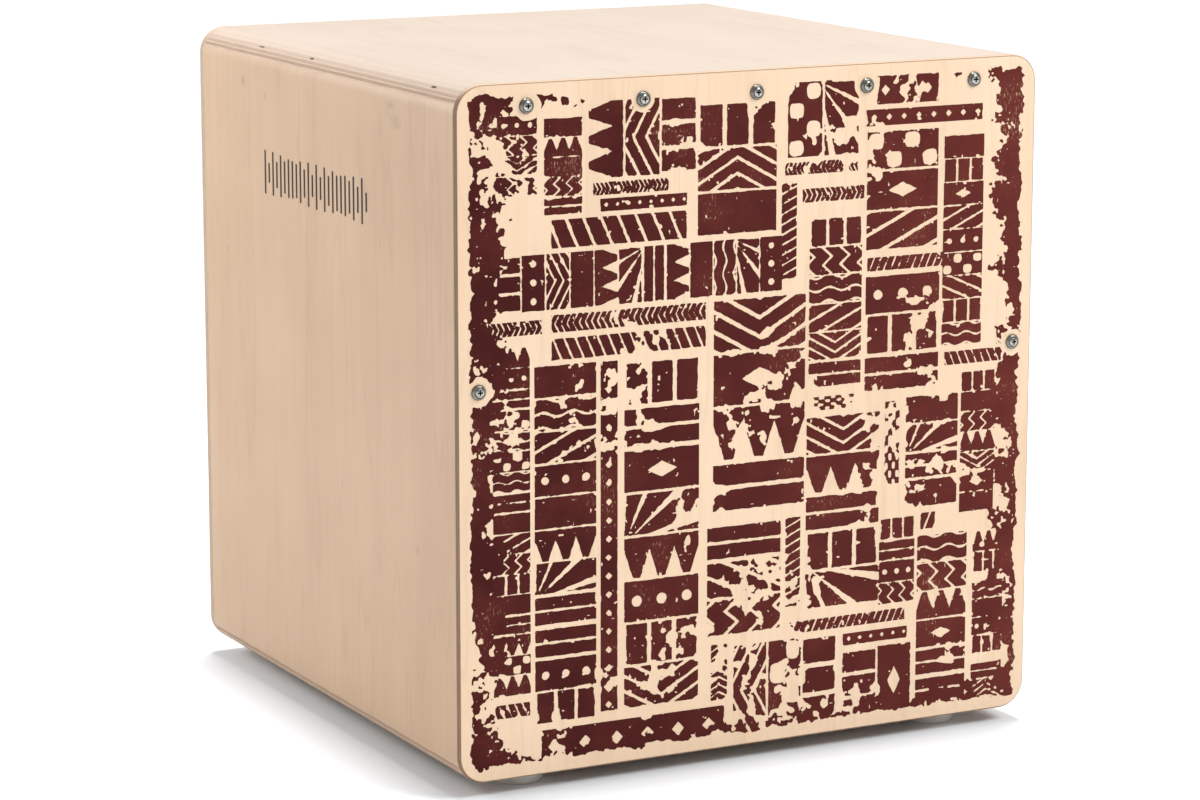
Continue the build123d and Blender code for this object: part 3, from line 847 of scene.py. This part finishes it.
def tube(points, radius, sides):
    """The corners and faces of a closed tube of that radius along the points, with flat ends."""
    rows = len(points)
    ahead = np.gradient(points, axis=0)
    ahead /= np.linalg.norm(ahead, axis=1)[:, None]
    first = np.cross(ahead, (1.0, 0.0, 0.0) if abs(ahead[0][0]) < 0.99 else (0.0, 0.0, 1.0))
    first /= np.linalg.norm(first, axis=1)[:, None]
    second = np.cross(ahead, first)
    turns = np.arange(sides) * 2 * math.pi / sides
    corners = [points + radius * (math.cos(turn) * first + math.sin(turn) * second) for turn in turns]
    faces = [tuple(side * rows for side in reversed(range(sides)))]
    faces.append(tuple(side * rows + rows - 1 for side in range(sides)))
    for side in range(sides):
        here, there = side * rows, (side + 1) % sides * rows
        faces.extend((here + row, there + row, there + row + 1, here + row + 1) for row in range(rows - 1))
    return np.concatenate(corners), faces


def helix(start, axis, radius, pitch, length, points_per_turn):
    """Points along a coil that starts beside start and winds along the unit vector axis."""
    axis = np.array(axis)
    first = np.array((1.0, 0.0, 0.0))
    second = np.cross(axis, first)
    travel = np.arange(0, length, pitch / points_per_turn)[:, None]
    turn = travel / pitch * 2 * math.pi
    return np.array(start) + axis * travel + radius * (np.cos(turn) * first + np.sin(turn) * second)


def add_piece(name, tubes, material, body):
    """One smooth-shaded object made of several tubes, riding on a body."""
    corners, faces, count = [], [], 0
    for tube_corners, tube_faces in tubes:
        corners.extend(tube_corners.tolist())
        faces.extend(tuple(index + count for index in face) for face in tube_faces)
        count += len(tube_corners)
    mesh = bpy.data.meshes.new(name)
    mesh.from_pydata(corners, [], faces)
    mesh.update()
    mesh.shade_smooth()
    mesh.materials.append(material)
    piece = bpy.data.objects.new(name, mesh)
    bpy.context.scene.collection.objects.link(piece)
    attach(piece, body)
    return piece


STRAND_COUNT = 20
STRAND_WIRE = 0.25 * MM
STRAND_COIL_PITCH = 1.7 * MM
STRAND_POINTS_PER_TURN = 9
STRAND_SIDES = 5
SOLDER_RADIUS = 1.1 * MM
SOLDER_POINTS = 60
SOLDER_UNEVENNESS = 0.12 * MM
SOLDER_SIDES = 10
THREAD_PITCH = 1.8 * MM
THREAD_WIRE = 0.28 * MM
THREAD_RADIUS = 1.42 * MM
THREAD_START = 0.6 * MM
THREAD_LENGTH = 13.0 * MM
THREAD_POINTS_PER_TURN = 16
THREAD_SIDES = 4


def add_snares(side):
    """Coiled strands in place of one side's plain CAD rods, and the solder that holds them to their plate."""
    node = f"{side}_snare_wires"
    rods = np.array([vertex.co for vertex in nodes[node].data.vertices])
    order = rods[:, Z].argsort()
    half = len(rods) // 2
    foot, tip = rods[order[:half]].mean(axis=0), rods[order[half:]].mean(axis=0)
    length = np.linalg.norm(tip - foot)
    axis = (tip - foot) / length
    low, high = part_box(node)
    # A rod's radius is half of what the box's height adds to the rise between the rods' ends.
    rod_radius = (high.z - low.z - (tip - foot)[Z]) / (2 * math.sqrt(1 - axis[Z] ** 2))
    places = np.linspace(low.x + rod_radius, high.x - rod_radius, STRAND_COUNT)
    tubes = []
    winding = (axis, rod_radius - STRAND_WIRE, STRAND_COIL_PITCH, length, STRAND_POINTS_PER_TURN)
    for x in places:
        coil = helix((x, foot[Y], foot[Z]), *winding)
        tubes.append(tube(coil, STRAND_WIRE, STRAND_SIDES))
    strands = add_piece(f"{side}_snare_strands", tubes, snare_steel, "box")
    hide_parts(node)
    ends = (low.x - SOLDER_RADIUS, high.x + SOLDER_RADIUS)
    line = np.array([(x, foot[Y], foot[Z]) for x in np.linspace(*ends, SOLDER_POINTS)])
    wobble = SOLDER_UNEVENNESS * np.sin(np.arange(SOLDER_POINTS) * 2.3)
    bead = tube(line + wobble[:, None] * (0, 1, 1), SOLDER_RADIUS, SOLDER_SIDES)
    add_piece(f"{side}_solder", [bead], snare_steel, "box")


def thread_at(x, z):
    """The thread of a screw whose axis meets the tapa's face at that x and z."""
    start = (x, tapa_low.y + THREAD_START, z)
    winding = ((0, 1, 0), THREAD_RADIUS, THREAD_PITCH, THREAD_LENGTH, THREAD_POINTS_PER_TURN)
    return tube(helix(start, *winding), THREAD_WIRE, THREAD_SIDES)


def add_threads():
    """The screws' threads, each group riding with its own screws."""
    for node, body, name in (
        ("tapa_washers", "box", "tapa_screw_threads"),
        ("left_slap_washer", "left_slap_screw", "left_slap_thread"),
        ("right_slap_washer", "right_slap_screw", "right_slap_thread"),
    ):
        centres = [(tapa_low.x + u * MM, tapa_high.z - v * MM) for u, v in washer_centres(node)]
        add_piece(name, [thread_at(x, z) for x, z in centres], screw_steel, body)


for side in ("left", "right"):
    add_snares(side)
add_threads()
